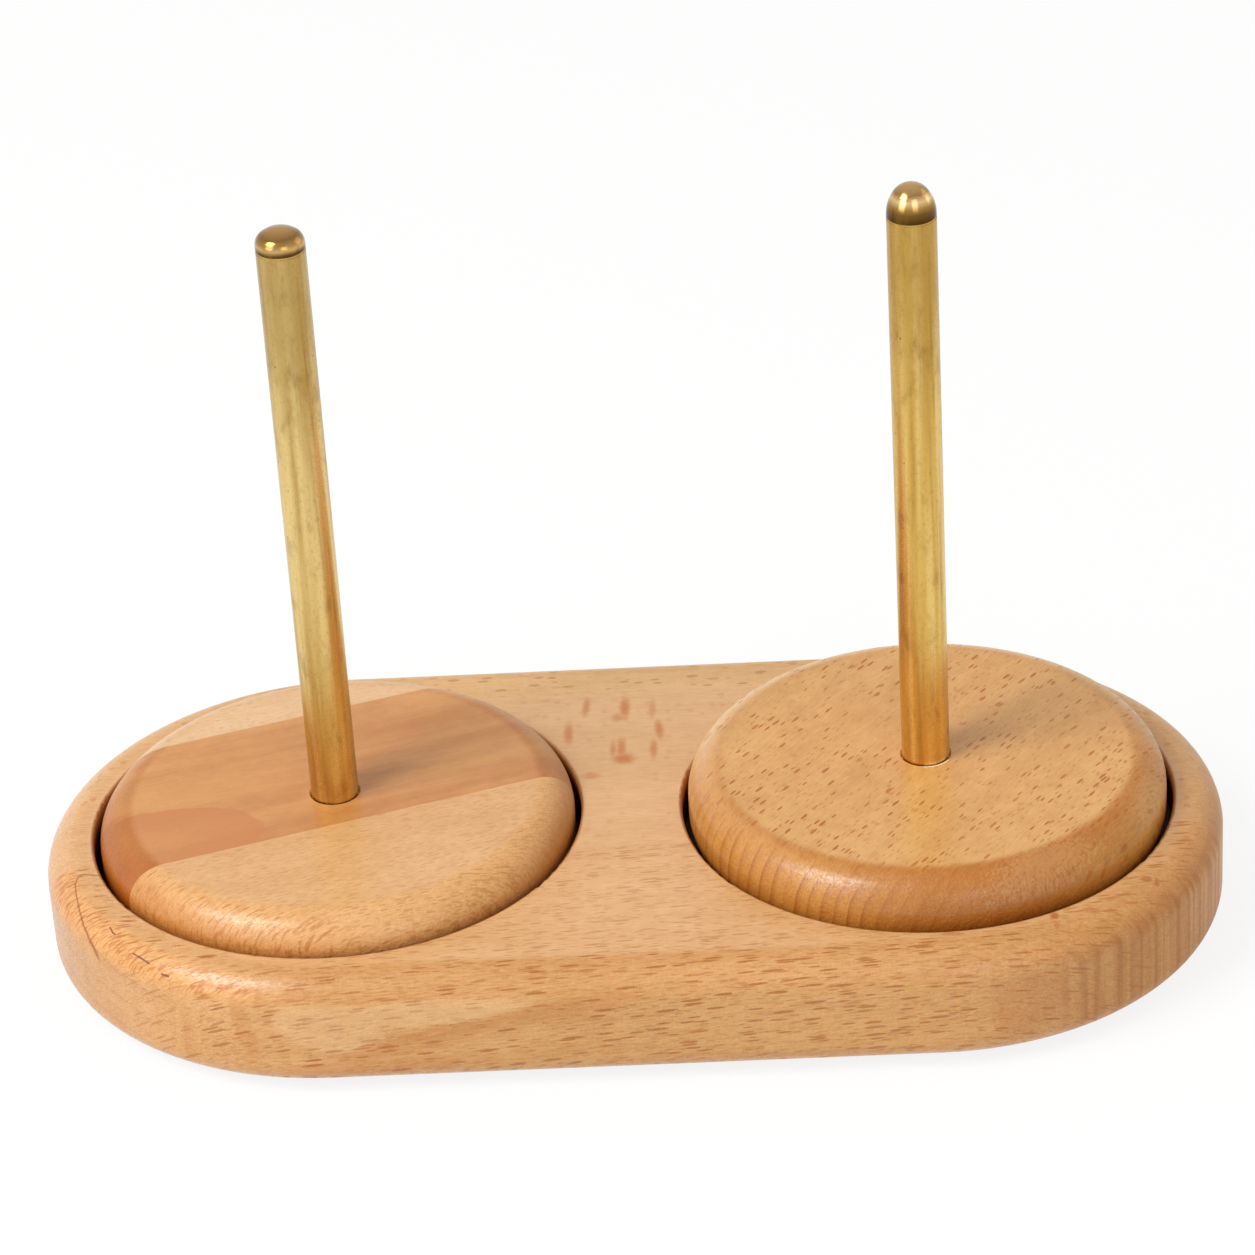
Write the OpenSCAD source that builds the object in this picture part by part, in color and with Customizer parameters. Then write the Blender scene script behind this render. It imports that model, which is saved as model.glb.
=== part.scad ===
// Two-spindle wooden thread rack. A rounded base board carries two turntable
// discs, and each disc turns with its brass rod on a deep-groove ball bearing.
// Origin: on the table, midway between the two rods. +X runs along the base
// from the left rod to the right rod, +Y points to the back, +Z is up.

/* [Base board] */
// Overall length of the base board
base_l = 247.5; // [240:0.5:270]
// Overall width of the base board
base_w = 123.5; // [120:0.5:127]
// Thickness of the base board
base_h = 25; // [24:0.5:32]
// Rounding of the board's top edge
base_top_r = 7.2; // [4:0.2:8]
// Rounding of the board's bottom edge
base_bottom_r = 5; // [2:0.5:6]
// Distance from the middle line back to the rear glue joint
rear_joint_y = 46.5; // [44:0.5:50]
// Distance from the middle line forward to the front glue joint
front_joint_y = 15; // [14:0.5:22]

/* [Turntable pockets] */
// Gap between a disc's rim and its pocket
pocket_gap = 1.4; // [1:0.1:2]
// Depth of the left pocket
left_pocket_depth = 12.2; // [9:0.1:12.6]
// Depth of the right pocket
right_pocket_depth = 9; // [8:0.1:12.6]
// Rounding of the pocket's mouth
pocket_mouth_r = 0.8; // [0.4:0.1:1.2]

/* [Turntable discs] */
// Diameter of a disc
disc_d = 100; // [90:1:101]
// Thickness of a disc
disc_h = 18; // [17:0.5:20]
// Rounding of a disc's top edge
disc_top_r = 7.6; // [6:0.2:9]
// Rounding of a disc's bottom edge
disc_bottom_r = 6.6; // [4:0.2:7]
// Direction of the left disc's staves, turned from +X
left_disc_turn = 19.5; // [-90:0.5:90]
// Left disc: distance from its axis to the joint towards the back
left_disc_rear_joint = 32; // [20:0.5:36]
// Left disc: distance from its axis to the joint towards the front
left_disc_front_joint = 12.5; // [10:0.5:30]

/* [Rods] */
// Diameter of a rod
rod_d = 10; // [9:0.5:12]
// Height of a rod above its disc
rod_reach = 131; // [100:0.5:160]
// Radius of the left tip's shoulder
left_tip_edge_r = 2.6; // [2:0.1:3]
// Radius of the left tip's crown
left_tip_crown_r = 6.5; // [6:0.1:8]
// Radius of the right tip's flanks
right_tip_edge_r = 8.4; // [7:0.1:10]
// Radius of the right tip's crown
right_tip_crown_r = 4.3; // [4:0.1:4.4]
// Height of the polished band below the left tip
left_tip_band = 1; // [0.2:0.1:2]
// Height of the polished band below the right tip
right_tip_band = 0.2; // [0.2:0.1:2]

/* [Bearings] */
// Bore of the ball bearing
bearing_bore = 8; // [8:0.5:8.5]
// Outer diameter of the ball bearing
bearing_d = 22; // [22:0.5:24]
// Width of the ball bearing
bearing_w = 7; // [7:0.5:8]
// Diameter of a ball
ball_d = 3.969; // [3.5:0.1:4]
// Number of balls
ball_count = 7; // [5:1:7]
// Opening under the bearing, through which the screw is reached
access_d = 18; // [16:0.5:18.4]

/* [Small parts] */
// Outer diameter of the shim washer between disc and bearing
shim_d = 14; // [12:0.5:15]
// Thickness of the shim washer
shim_h = 1; // [0.5:0.1:1.5]
// Outer diameter of the retaining washer
retainer_d = 12; // [11:0.5:12]
// Thickness of the retaining washer
retainer_h = 1; // [0.8:0.1:1.2]
// Thread diameter of the retaining screw
screw_d = 4; // [3:0.5:5]
// Length of the retaining screw under its head
screw_l = 12; // [10:1:16]
// Diameter of the screw head
screw_head_d = 8; // [7:0.5:9]
// Height of the screw head
screw_head_h = 2.6; // [2:0.1:2.6]
// Diameter of a rubber foot
foot_d = 12; // [8:0.5:16]
// Height of a rubber foot
foot_h = 2; // [1.5:0.1:4]

/* [Hidden] */
$fn = 96;
eps = 0.01;
LEFT = -1;
RIGHT = 1;

base_z = foot_h;
base_top_z = base_z + base_h;
end_r = base_w / 2;
axis_x = (base_l - base_w) / 2;
foot_x = axis_x + 18;
foot_y = 36;
foot_edge_r = 0.6;

disc_r = disc_d / 2;
pocket_r = disc_r + pocket_gap;
rod_r = rod_d / 2;
hole_chamfer = 0.4;
relief_depth = 0.25;
relief_land = 1.5;
relief_mouth = 1;
groove_w = 0.5;
groove_depth = 0.08;

end_gap = 0.2;
bore_r = bearing_bore / 2;
ring_r = bearing_d / 2;
ball_r = ball_d / 2;
pitch_r = (bore_r + ring_r) / 2;
raceway_r = 0.52 * ball_d;
raceway_play = 0.02;
inner_shoulder_r = pitch_r - 1.45;
outer_shoulder_r = pitch_r + 1.45;
ring_edge_r = 0.3;
shield_seat_r = outer_shoulder_r + 0.65;
shield_seat_depth = 0.9;
shield_t = 0.3;
shield_drop = 0.3;
shield_gap = 0.2;
cage_t = 0.4;
cage_play = 0.06;
cage_half_band = 0.75;
rivet_r = 0.35;
rivet_head_r = 0.55;
rivet_head_h = 0.2;

washer_play = 0.3;
recess_w = 1;
recess_l = 4.4;
recess_depth = 1.6;
screw_tip_chamfer = 0.5;
tap_extra = 1.5;

// Heights of one side's stack, from the table up
function floor_z(side) = base_top_z - (side == LEFT ? left_pocket_depth : right_pocket_depth);
function bearing_z(side) = floor_z(side) - bearing_w;
function disc_z(side) = floor_z(side) + shim_h;

// A rod tip is an edge arc, centred level with the end of the straight wall,
// that runs tangent into a crown arc, centred on the rod's axis
function tip_edge_x(edge_r) = rod_r - edge_r;
function tip_crown_z(edge_r, crown_r) =
    (edge_r > crown_r ? 1 : -1) * sqrt(pow(crown_r - edge_r, 2) - pow(tip_edge_x(edge_r), 2));
function tip_h(edge_r, crown_r) = tip_crown_z(edge_r, crown_r) + crown_r;
function tip_joint(edge_r, crown_r) =
    let (reach = crown_r / (crown_r - edge_r))
    [reach * tip_edge_x(edge_r), tip_crown_z(edge_r, crown_r) * (1 - reach)];

// Brings a piece built on the spindle axis to one side's axis, at height z
module on_axis(side, z) {
    translate([side * axis_x, 0, z]) children();
}

// Half section of a board or disc with its top and bottom edges rounded
module edge_profile(r, h, top_r, bottom_r) {
    translate([0, bottom_r]) square([r, h - top_r - bottom_r]);
    square([r - bottom_r, bottom_r + eps]);
    translate([0, h - top_r - eps]) square([r - top_r, top_r + eps]);
    translate([r - top_r, h - top_r]) intersection() {
        circle(top_r);
        translate([-eps, -eps]) square(top_r + eps);
    }
    translate([r - bottom_r, bottom_r]) mirror([0, 1]) intersection() {
        circle(bottom_r);
        translate([-eps, -eps]) square(bottom_r + eps);
    }
}

// Round plate with a hole and rounded outer edges
module washer(outer_r, inner_r, h, edge_r) {
    difference() {
        rotate_extrude() edge_profile(outer_r, h, edge_r, edge_r);
        translate([0, 0, -1]) cylinder(r = inner_r, h = h + 2);
    }
}

// The board before it is bored: two turned ends and a straight middle
module base_blank() {
    for (side = [LEFT, RIGHT]) {
        on_axis(side, base_z) rotate_extrude() edge_profile(end_r, base_h, base_top_r, base_bottom_r);
    }
    translate([0, 0, base_z]) rotate([90, 0, 90])
        linear_extrude(height = 2 * axis_x, center = true) {
            edge_profile(end_r, base_h, base_top_r, base_bottom_r);
            mirror([1, 0]) edge_profile(end_r, base_h, base_top_r, base_bottom_r);
        }
}

// What is bored out of the board for one spindle: pocket, bearing seat, access hole
module spindle_bores(side) {
    on_axis(side, 0) {
        translate([0, 0, floor_z(side)]) cylinder(r = pocket_r, h = base_h);
        translate([0, 0, bearing_z(side)]) cylinder(r = ring_r, h = base_h);
        translate([0, 0, -1]) cylinder(d = access_d, h = base_h);
        rotate_extrude() difference() {
            translate([pocket_r - eps, base_top_z - pocket_mouth_r])
                square([pocket_mouth_r + eps, pocket_mouth_r + 1]);
            translate([pocket_r + pocket_mouth_r, base_top_z - pocket_mouth_r]) circle(pocket_mouth_r);
        }
    }
}

// One lengthwise stave of the glued base board, from y0 to y1
module base_stave(y0, y1) {
    color("#dcae7c") intersection() {
        difference() {
            base_blank();
            for (side = [LEFT, RIGHT]) spindle_bores(side);
        }
        translate([-base_l, y0, 0]) cube([2 * base_l, y1 - y0, 2 * base_h]);
    }
}

// Round self-adhesive feet under the board
module rubber_feet() {
    color("#2b2b2d") for (sx = [-1, 1], sy = [-1, 1]) {
        translate([sx * foot_x, sy * foot_y, 0]) rotate_extrude() {
            edge_profile(foot_d / 2, foot_h, foot_edge_r / 2, foot_edge_r);
        }
    }
}

// A turned disc with its hole for the rod, on the spindle axis
module disc_blank() {
    difference() {
        rotate_extrude() edge_profile(disc_r, disc_h, disc_top_r, disc_bottom_r);
        translate([0, 0, -1]) cylinder(r = rod_r, h = disc_h + 2);
        translate([0, 0, disc_h - hole_chamfer])
            cylinder(r1 = rod_r, r2 = rod_r + hole_chamfer + eps, h = hole_chamfer + eps);
    }
}

// One stave of the glued left disc, from y0 to y1 across the stave direction
module left_disc_stave(y0, y1, tone) {
    color(tone) on_axis(LEFT, disc_z(LEFT)) rotate(left_disc_turn) intersection() {
        disc_blank();
        translate([-disc_d, y0, -1]) cube([2 * disc_d, y1 - y0, disc_h + 2]);
    }
}

// The right disc, turned from one piece
module right_disc() {
    color("#d39f5e") on_axis(RIGHT, disc_z(RIGHT)) disc_blank();
}

// Half section of a rod tip above the end of the straight wall
module tip_profile(edge_r, crown_r) {
    joint = tip_joint(edge_r, crown_r);
    edge_x = tip_edge_x(edge_r);
    intersection() {
        translate([edge_x, 0]) circle(edge_r);
        square([rod_r, joint.y]);
    }
    intersection() {
        translate([0, tip_crown_z(edge_r, crown_r)]) circle(crown_r);
        translate([0, joint.y]) square([rod_r, crown_r]);
    }
    polygon([[0, 0], [max(edge_x, 0), 0], joint, [0, joint.y]]);
}

// Brass rod: bearing journal, two lands in the disc with glue relief between and
// above them, straight wall, fine groove below the tip, band and tip
module rod(side) {
    edge_r = side == LEFT ? left_tip_edge_r : right_tip_edge_r;
    crown_r = side == LEFT ? left_tip_crown_r : right_tip_crown_r;
    band = side == LEFT ? left_tip_band : right_tip_band;
    journal_l = shim_h + bearing_w - end_gap;
    wall_end = disc_h + rod_reach - tip_h(edge_r, crown_r);
    color("#c39a4e") on_axis(side, disc_z(side)) difference() {
        rotate_extrude() {
            translate([0, -journal_l]) square([bore_r, journal_l + eps]);
            square([rod_r, relief_land]);
            square([rod_r - relief_depth, disc_h + eps]);
            translate([0, disc_h - relief_mouth - relief_land]) square([rod_r, relief_land]);
            translate([0, disc_h]) square([rod_r, wall_end - band - groove_w - disc_h]);
            translate([0, disc_h]) square([rod_r - groove_depth, wall_end - disc_h]);
            translate([0, wall_end - band]) square([rod_r, band]);
            translate([0, wall_end]) tip_profile(edge_r, crown_r);
        }
        translate([0, 0, -journal_l - 1])
            cylinder(d = screw_d, h = screw_l - retainer_h - end_gap + tap_extra + 1);
    }
}

// Shim washer that lifts the disc clear of the board
module shim_washer(side) {
    color("#b9bcc0") on_axis(side, floor_z(side)) washer(shim_d / 2, bore_r, shim_h, 0.15);
}

// Torus in which the balls roll, centred at radius r
module raceway(r) {
    translate([0, 0, bearing_w / 2]) rotate_extrude() translate([r, 0]) circle(raceway_r);
}

// Outer ring: raceway, shoulders and a step at each face for a shield
module bearing_outer_ring(side) {
    color("#c8cbce") on_axis(side, bearing_z(side)) difference() {
        rotate_extrude() edge_profile(ring_r, bearing_w, ring_edge_r, ring_edge_r);
        translate([0, 0, -1]) cylinder(r = outer_shoulder_r, h = bearing_w + 2);
        translate([0, 0, -1]) cylinder(r = shield_seat_r, h = shield_seat_depth + 1);
        translate([0, 0, bearing_w - shield_seat_depth])
            cylinder(r = shield_seat_r, h = shield_seat_depth + 1);
        raceway(pitch_r + ball_r + raceway_play - raceway_r);
    }
}

// Inner ring, seated on the rod's journal
module bearing_inner_ring(side) {
    color("#c8cbce") on_axis(side, bearing_z(side)) difference() {
        washer(inner_shoulder_r, bore_r, bearing_w, ring_edge_r);
        raceway(pitch_r - ball_r - raceway_play + raceway_r);
    }
}

// Children repeated around the bearing at every ball, or half a step on
module around_bearing(side, half_step) {
    on_axis(side, bearing_z(side) + bearing_w / 2) for (i = [0 : ball_count - 1]) {
        rotate((i + half_step) * 360 / ball_count) translate([pitch_r, 0, 0]) children();
    }
}

module bearing_balls(side) {
    color("#dfe1e4") around_bearing(side, 0) sphere(ball_r);
}

// Pressed ribbon half: a flat ring with a cup over every ball, dir is 1 for
// the upper half and -1 for the lower one
module cage_half(side, dir) {
    color("#a9a492") intersection() {
        difference() {
            union() {
                on_axis(side, bearing_z(side) + bearing_w / 2 - cage_t)
                    cylinder(r = ring_r, h = 2 * cage_t);
                around_bearing(side, 0) sphere(ball_r + cage_play + cage_t);
            }
            around_bearing(side, 0) sphere(ball_r + cage_play);
            around_bearing(side, 0.5) cylinder(r = rivet_r, h = bearing_w, center = true);
        }
        on_axis(side, bearing_z(side) + bearing_w / 2) difference() {
            translate([0, 0, dir > 0 ? 0 : -bearing_w])
                cylinder(r = pitch_r + cage_half_band, h = bearing_w);
            cylinder(r = pitch_r - cage_half_band, h = 3 * bearing_w, center = true);
        }
    }
}

// Rivets that close the two cage halves, headed on both faces
module cage_rivets(side) {
    color("#8f8b7c") around_bearing(side, 0.5) {
        cylinder(r = rivet_r, h = 2 * cage_t, center = true);
        for (dir = [0, 1]) {
            mirror([0, 0, dir]) translate([0, 0, cage_t]) cylinder(r = rivet_head_r, h = rivet_head_h);
        }
    }
}

// Dished shield of a sheet-metal ring, its rim pressed into the outer ring's step
module shield() {
    rotate_extrude() {
        translate([inner_shoulder_r + shield_gap, shield_drop])
            square([shield_seat_r - inner_shoulder_r - shield_gap, shield_t]);
        translate([shield_seat_r - shield_t, shield_drop])
            square([shield_t, shield_seat_depth - shield_drop]);
    }
}

module bearing_shields(side) {
    color("#9da1a6") on_axis(side, bearing_z(side)) {
        shield();
        translate([0, 0, bearing_w]) mirror([0, 0, 1]) shield();
    }
}

// Wide washer that holds the inner ring up against the shim
module retaining_washer(side) {
    color("#b9bcc0") on_axis(side, bearing_z(side) - retainer_h)
        washer(retainer_d / 2, (screw_d + washer_play) / 2, retainer_h, 0.15);
}

// Pan-head screw in the rod's tapped end, head down
module retaining_screw(side) {
    head_r = screw_head_d / 2;
    color("#a7aaae") on_axis(side, bearing_z(side) - retainer_h) {
        difference() {
            translate([0, 0, -screw_head_h]) rotate_extrude()
                edge_profile(head_r, screw_head_h, 0.2, screw_head_h * 0.7);
            for (turn = [0, 90]) {
                rotate(turn) translate([-recess_l / 2, -recess_w / 2, -screw_head_h - 1])
                    cube([recess_l, recess_w, recess_depth + 1]);
            }
        }
        translate([0, 0, -eps]) cylinder(d = screw_d, h = screw_l - screw_tip_chamfer + eps);
        translate([0, 0, screw_l - screw_tip_chamfer])
            cylinder(d1 = screw_d, d2 = screw_d - 2 * screw_tip_chamfer, h = screw_tip_chamfer);
    }
}

base_stave(-base_w, -front_joint_y);  // base_front_stave
base_stave(-front_joint_y, rear_joint_y);  // base_middle_stave
base_stave(rear_joint_y, base_w);  // base_back_stave
rubber_feet();
left_disc_stave(-disc_d, -left_disc_front_joint, "#dcae78");  // left_disc_front_stave
left_disc_stave(-left_disc_front_joint, left_disc_rear_joint, "#c98f63");  // left_disc_middle_stave
left_disc_stave(left_disc_rear_joint, disc_d, "#dfb68a");  // left_disc_back_stave
right_disc();
rod(LEFT);  // left_rod
rod(RIGHT);  // right_rod
shim_washer(LEFT);  // left_shim_washer
shim_washer(RIGHT);  // right_shim_washer
bearing_outer_ring(LEFT);  // left_bearing_outer_ring
bearing_outer_ring(RIGHT);  // right_bearing_outer_ring
bearing_inner_ring(LEFT);  // left_bearing_inner_ring
bearing_inner_ring(RIGHT);  // right_bearing_inner_ring
bearing_balls(LEFT);  // left_bearing_balls
bearing_balls(RIGHT);  // right_bearing_balls
cage_half(LEFT, 1);  // left_cage_upper_half
cage_half(RIGHT, 1);  // right_cage_upper_half
cage_half(LEFT, -1);  // left_cage_lower_half
cage_half(RIGHT, -1);  // right_cage_lower_half
cage_rivets(LEFT);  // left_cage_rivets
cage_rivets(RIGHT);  // right_cage_rivets
bearing_shields(LEFT);  // left_bearing_shields
bearing_shields(RIGHT);  // right_bearing_shields
retaining_washer(LEFT);  // left_retaining_washer
retaining_washer(RIGHT);  // right_retaining_washer
retaining_screw(LEFT);  // left_retaining_screw
retaining_screw(RIGHT);  // right_retaining_screw
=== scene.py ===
import math

import bpy
from mathutils import Matrix, Vector


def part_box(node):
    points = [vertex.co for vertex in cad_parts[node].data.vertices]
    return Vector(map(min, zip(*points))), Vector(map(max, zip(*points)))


# Looks of a wooden two-spindle thread rack, dressed over its packed construction.
# Lengths in the dictionaries are millimetres, angles are degrees, colours are hex.

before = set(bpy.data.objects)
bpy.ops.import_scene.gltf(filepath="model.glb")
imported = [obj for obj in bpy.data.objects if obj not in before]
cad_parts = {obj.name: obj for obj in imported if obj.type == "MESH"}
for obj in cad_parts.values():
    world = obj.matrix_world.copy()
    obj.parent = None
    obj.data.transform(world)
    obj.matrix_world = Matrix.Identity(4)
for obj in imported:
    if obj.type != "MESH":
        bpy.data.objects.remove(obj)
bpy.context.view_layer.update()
mm = 0.001
print("frame loaded:", len(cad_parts), "nodes")


# Places that the looks share, all read from the frame

def middle(node):                              # centre of a node's box, in mm
    low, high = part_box(node)
    return (low + high) / 2 / mm


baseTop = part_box("base_middle_stave")[1].z / mm
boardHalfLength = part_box("base_front_stave")[1].x / mm
boardEndRadius = -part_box("base_front_stave")[0].y / mm
leftAxis = middle("left_rod").x
rightAxis = middle("right_rod").x
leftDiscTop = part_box("left_disc_middle_stave")[1].z / mm
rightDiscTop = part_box("right_disc")[1].z / mm
discRadius = (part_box("right_disc")[1].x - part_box("right_disc")[0].x) / 2 / mm


# Shader maths: sums of sockets read as plain sums of numbers

class Value:
    def __init__(self, shader, socket):
        self.shader = shader
        self.socket = socket

    def __add__(self, other):
        return self.shader.maths("ADD", self, other)

    def __radd__(self, other):
        return self.shader.maths("ADD", other, self)

    def __sub__(self, other):
        return self.shader.maths("SUBTRACT", self, other)

    def __rsub__(self, other):
        return self.shader.maths("SUBTRACT", other, self)

    def __mul__(self, other):
        return self.shader.maths("MULTIPLY", self, other)

    def __rmul__(self, other):
        return self.shader.maths("MULTIPLY", other, self)

    def __truediv__(self, other):
        return self.shader.maths("DIVIDE", self, other)

    def __pow__(self, other):
        return self.shader.maths("POWER", self, other)

    def output(self, name):                    # another output of the same node
        return Value(self.shader, self.socket.node.outputs[name])


class Shader:
    def __init__(self, owner):                 # owner is a material or the world
        self.owner = owner
        owner.use_nodes = True
        self.tree = owner.node_tree
        self.tree.nodes.clear()

    def node(self, kind, settings={}, sockets={}, output=0):
        made = self.tree.nodes.new("ShaderNode" + kind)
        for key, value in settings.items():
            if key == "stops":
                self.setStops(made.color_ramp, value)
            else:
                setattr(made, key, value)
        for key, value in sockets.items():
            if isinstance(value, Value):
                self.tree.links.new(value.socket, made.inputs[key])
            else:
                made.inputs[key].default_value = value
        return Value(self, made.outputs[output]) if len(made.outputs) else made

    def setStops(self, ramp, stops):
        while len(ramp.elements) < len(stops):
            ramp.elements.new(1)
        for element, (place, colour) in zip(ramp.elements, stops):
            element.position = place
            element.color = colour

    def maths(self, operation, *values):
        return self.node("Math", {"operation": operation}, dict(enumerate(values)))

    def ease(self, value, low, high):          # 0 at low, 1 at high, smooth between
        return self.node("MapRange", {"interpolation_type": "SMOOTHSTEP"},
                         {"Value": value, "From Min": low, "From Max": high})

    def mix(self, factor, first, second, mode="MIX"):
        return self.node("Mix", {"data_type": "RGBA", "blend_type": mode},
                         {0: factor, 6: first, 7: second}, 2)

    def vector(self, x, y, z):
        return self.node("CombineXYZ", {}, {0: x, 1: y, 2: z})

    def split(self, vector):
        parts = self.node("SeparateXYZ", {}, {0: vector})
        return parts, parts.output("Y"), parts.output("Z")

    def noise(self, vector, scale=1.0, detail=2.0, roughness=0.5, warp=0.0):
        return self.node("TexNoise", {}, {"Vector": vector, "Scale": scale, "Detail": detail,
                                          "Roughness": roughness, "Distortion": warp})

    def place(self, centre=(0, 0, 0), turn=0.0):   # object coordinates in mm, centred and turned
        coords = self.node("TexCoord", {}, {}, "Object")
        return self.node("Mapping", {"vector_type": "TEXTURE"},
                         {"Vector": coords, "Location": Vector(centre) * mm,
                          "Rotation": (0, 0, math.radians(turn)), "Scale": (mm, mm, mm)})

    def facing(self, turn=0.0):                # a face's share towards the grain's ends, up, right, back
        x, y, z = self.split(self.node("TexCoord", {}, {}, "Normal"))
        angle = math.radians(turn)
        along = self.maths("ABSOLUTE", x * math.cos(angle) + y * math.sin(angle))
        return along, z, x, y

    def seenOrMirrored(self):                  # 1 where the camera looks, also by mirror or glass
        path = self.node("LightPath", {}, {}, "Is Camera Ray")
        seen = self.maths("MAXIMUM", path, path.output("Is Glossy Ray"))
        return self.maths("MAXIMUM", seen, path.output("Is Transmission Ray"))

    def finish(self, sockets, bump):
        surface = self.node("BsdfPrincipled", {}, dict(sockets, Normal=bump))
        self.node("OutputMaterial", {}, {"Surface": surface})
        return self.owner


def newShader(name):
    return Shader(bpy.data.materials.new(name))


def tint(code):                                # hex colour as Blender's linear RGBA
    parts = [int(code[i:i + 2], 16) / 255 for i in (1, 3, 5)]
    return [p / 12.92 if p <= 0.04045 else ((p + 0.055) / 1.055) ** 2.4 for p in parts] + [1.0]


def dress(node, material):
    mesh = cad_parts[node].data
    mesh.materials.clear()
    mesh.materials.append(material)


# Wood: growth rings lie round a pith line, rays run out from it, fibres follow the grain.
# turn is the grain's direction from +X, pith the pith's place across and above the table, rays
# the rays' slope. rimTint and endTint are multiplied onto the rounded edges, most on those that
# face front, endTint where the grain ends there: the cut wood's colour, deepened as painted shade.
# A fleck's size is its length along the grain, its thickness and its depth.

woods = {
    "beech_base_front": {
        "node": "base_front_stave", "shape": "board", "centre": (0, 0, 0), "turn": -0.6, "dip": -5,
        "top": baseTop, "pith": (0, -137), "ring": 3.4, "ringTop": 0.04, "ringEnd": 0.40, "wobble": 6,
        "rays": 135, "light": "#ddae7b", "dark": "#c69157", "rimTint": "#ecdfc8", "endTint": "#e4cca8",
        "cloud": 0.34, "streak": 0.42, "fibre": 0.62, "fibreSize": (5.0, 0.34),
        "flecks": [{"size": (6.0, 0.60, 20), "share": 0.60, "clump": 0.7, "reach": 0.47,
                    "tone": "#9e560a", "onTop": 0.42, "onRim": 0.85},
                   {"size": (3.2, 0.42, 12), "share": 0.80, "clump": 0.6, "reach": 0.43,
                    "tone": "#a66a22", "onTop": 0.46, "onRim": 0.60}]},
    "beech_base_middle": {
        "node": "base_middle_stave", "shape": "board", "centre": (0, 0, 0), "turn": 0, "dip": 0,
        "top": baseTop, "pith": (-95, 22), "ring": 2.6, "ringTop": 0.03, "ringEnd": 0.34, "wobble": 3,
        "rays": 8, "light": "#dcae7d", "dark": "#ca9862", "rimTint": "#ecdfc8", "endTint": "#e4cca8",
        "cloud": 0.25, "streak": 0.30, "fibre": 0.80, "fibreSize": (4.0, 0.36),
        "flecks": [{"size": (2.4, 0.4, 6), "share": 0.46, "reach": 0.42, "tone": "#b0662a",
                    "onTop": 0.20, "onRim": 0.40}]},
    "beech_base_back": {
        "node": "base_back_stave", "shape": "board", "centre": (0, 0, 0), "turn": 0.5, "dip": 3,
        "top": baseTop, "pith": (20, -60), "ring": 3.4, "ringTop": 0.04, "ringEnd": 0.34, "wobble": 6,
        "rays": 62, "light": "#dbae79", "dark": "#c6955b", "rimTint": "#ecdfc8", "endTint": "#e4cca8",
        "cloud": 0.30, "streak": 0.36, "fibre": 0.60, "fibreSize": (5.0, 0.34),
        "flecks": [{"size": (3.8, 1.30, 18), "share": 0.44, "reach": 0.45, "tone": "#9c5c22",
                    "onTop": 0.55, "onRim": 0.40},
                   {"size": (2.4, 0.42, 12), "share": 0.60, "reach": 0.40, "tone": "#ac7232",
                    "onTop": 0.30, "onRim": 0.40}]},
    "beech_disc_pale": {
        "node": "left_disc_front_stave", "shape": "disc",
        "centre": (leftAxis, 0, 0), "turn": 19.5, "dip": 2,
        "top": leftDiscTop, "pith": (20, -80), "ring": 3.0, "ringTop": 0.03, "ringEnd": 0.34, "wobble": 5,
        "rays": 108, "light": "#dbab77", "dark": "#c49056", "rimTint": "#faf2e4", "endTint": "#e0c59e",
        "rimPale": 0.15, "gloss": 0.85,
        "cloud": 0.28, "streak": 0.22, "fibre": 0.80, "fibreSize": (2.2, 0.32),
        "flecks": [{"size": (2.9, 0.56, 12), "share": 0.95, "reach": 0.43, "tone": "#a46020",
                    "onTop": 0.36, "onRim": 0.42}]},
    "beech_disc_back": {
        "node": "left_disc_back_stave", "shape": "disc",
        "centre": (leftAxis, 0, 0), "turn": 19.5, "dip": 2,
        "top": leftDiscTop, "pith": (20, -80), "ring": 3.0, "ringTop": 0.03, "ringEnd": 0.34, "wobble": 5,
        "rays": 108, "light": "#e2bb90", "dark": "#cea06e", "rimTint": "#f2e6d0", "endTint": "#e6d0b2",
        "cloud": 0.28, "streak": 0.30, "fibre": 0.60, "fibreSize": (3.4, 0.32),
        "flecks": [{"size": (2.2, 0.46, 12), "share": 0.60, "reach": 0.43, "tone": "#b0763a",
                    "onTop": 0.34, "onRim": 0.45}]},
    "beech_disc_heartwood": {
        "node": "left_disc_middle_stave", "shape": "disc",
        "centre": (leftAxis, 0, 0), "turn": 19.5, "dip": 2,
        "top": leftDiscTop, "pith": (-60, 30), "ring": 4.0, "ringTop": 0.03, "ringEnd": 0.26, "wobble": 5,
        "rays": 100, "light": "#cf9455", "dark": "#b27136", "rimTint": "#dabd84", "endTint": "#cba56c",
        "cloud": 0.40, "streak": 0.75, "fibre": 0.32, "fibreSize": (3.0, 0.4), "gloss": 0.38,
        "flecks": [{"size": (2.2, 0.42, 10), "share": 0.22, "reach": 0.34, "tone": "#a05a24",
                    "onTop": 0.22, "onRim": 0.35}]},
    "beech_disc_honey": {
        "node": "right_disc", "shape": "disc", "centre": (rightAxis, 0, 0), "turn": 54, "dip": 0,
        "top": rightDiscTop, "pith": (-95, 10), "ring": 3.0, "ringTop": 0.06, "ringEnd": 1.30,
        "wobble": 5, "rays": 104, "light": "#d8a563", "dark": "#bf8545", "rimTint": "#efe0c0",
        "rimRightShade": "#e6d0a6", "rimFarSheen": "#fffeec", "backSheen": 0.5,
        "endTint": "#e6d6ae", "cloud": 0.34, "streak": 0.28, "fibre": 0.48, "fibreSize": (3.0, 0.40),
        "mottle": 0.42,
        "flecks": [{"size": (3.4, 0.90, 18), "share": 0.36, "reach": 0.47, "tone": "#a85a04",
                    "onTop": 1.0, "onRim": 0.75},
                   {"size": (2.2, 0.60, 12), "share": 0.45, "reach": 0.40, "tone": "#a05c10",
                    "onTop": 0.50, "onRim": 0.35}]},
}
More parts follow.
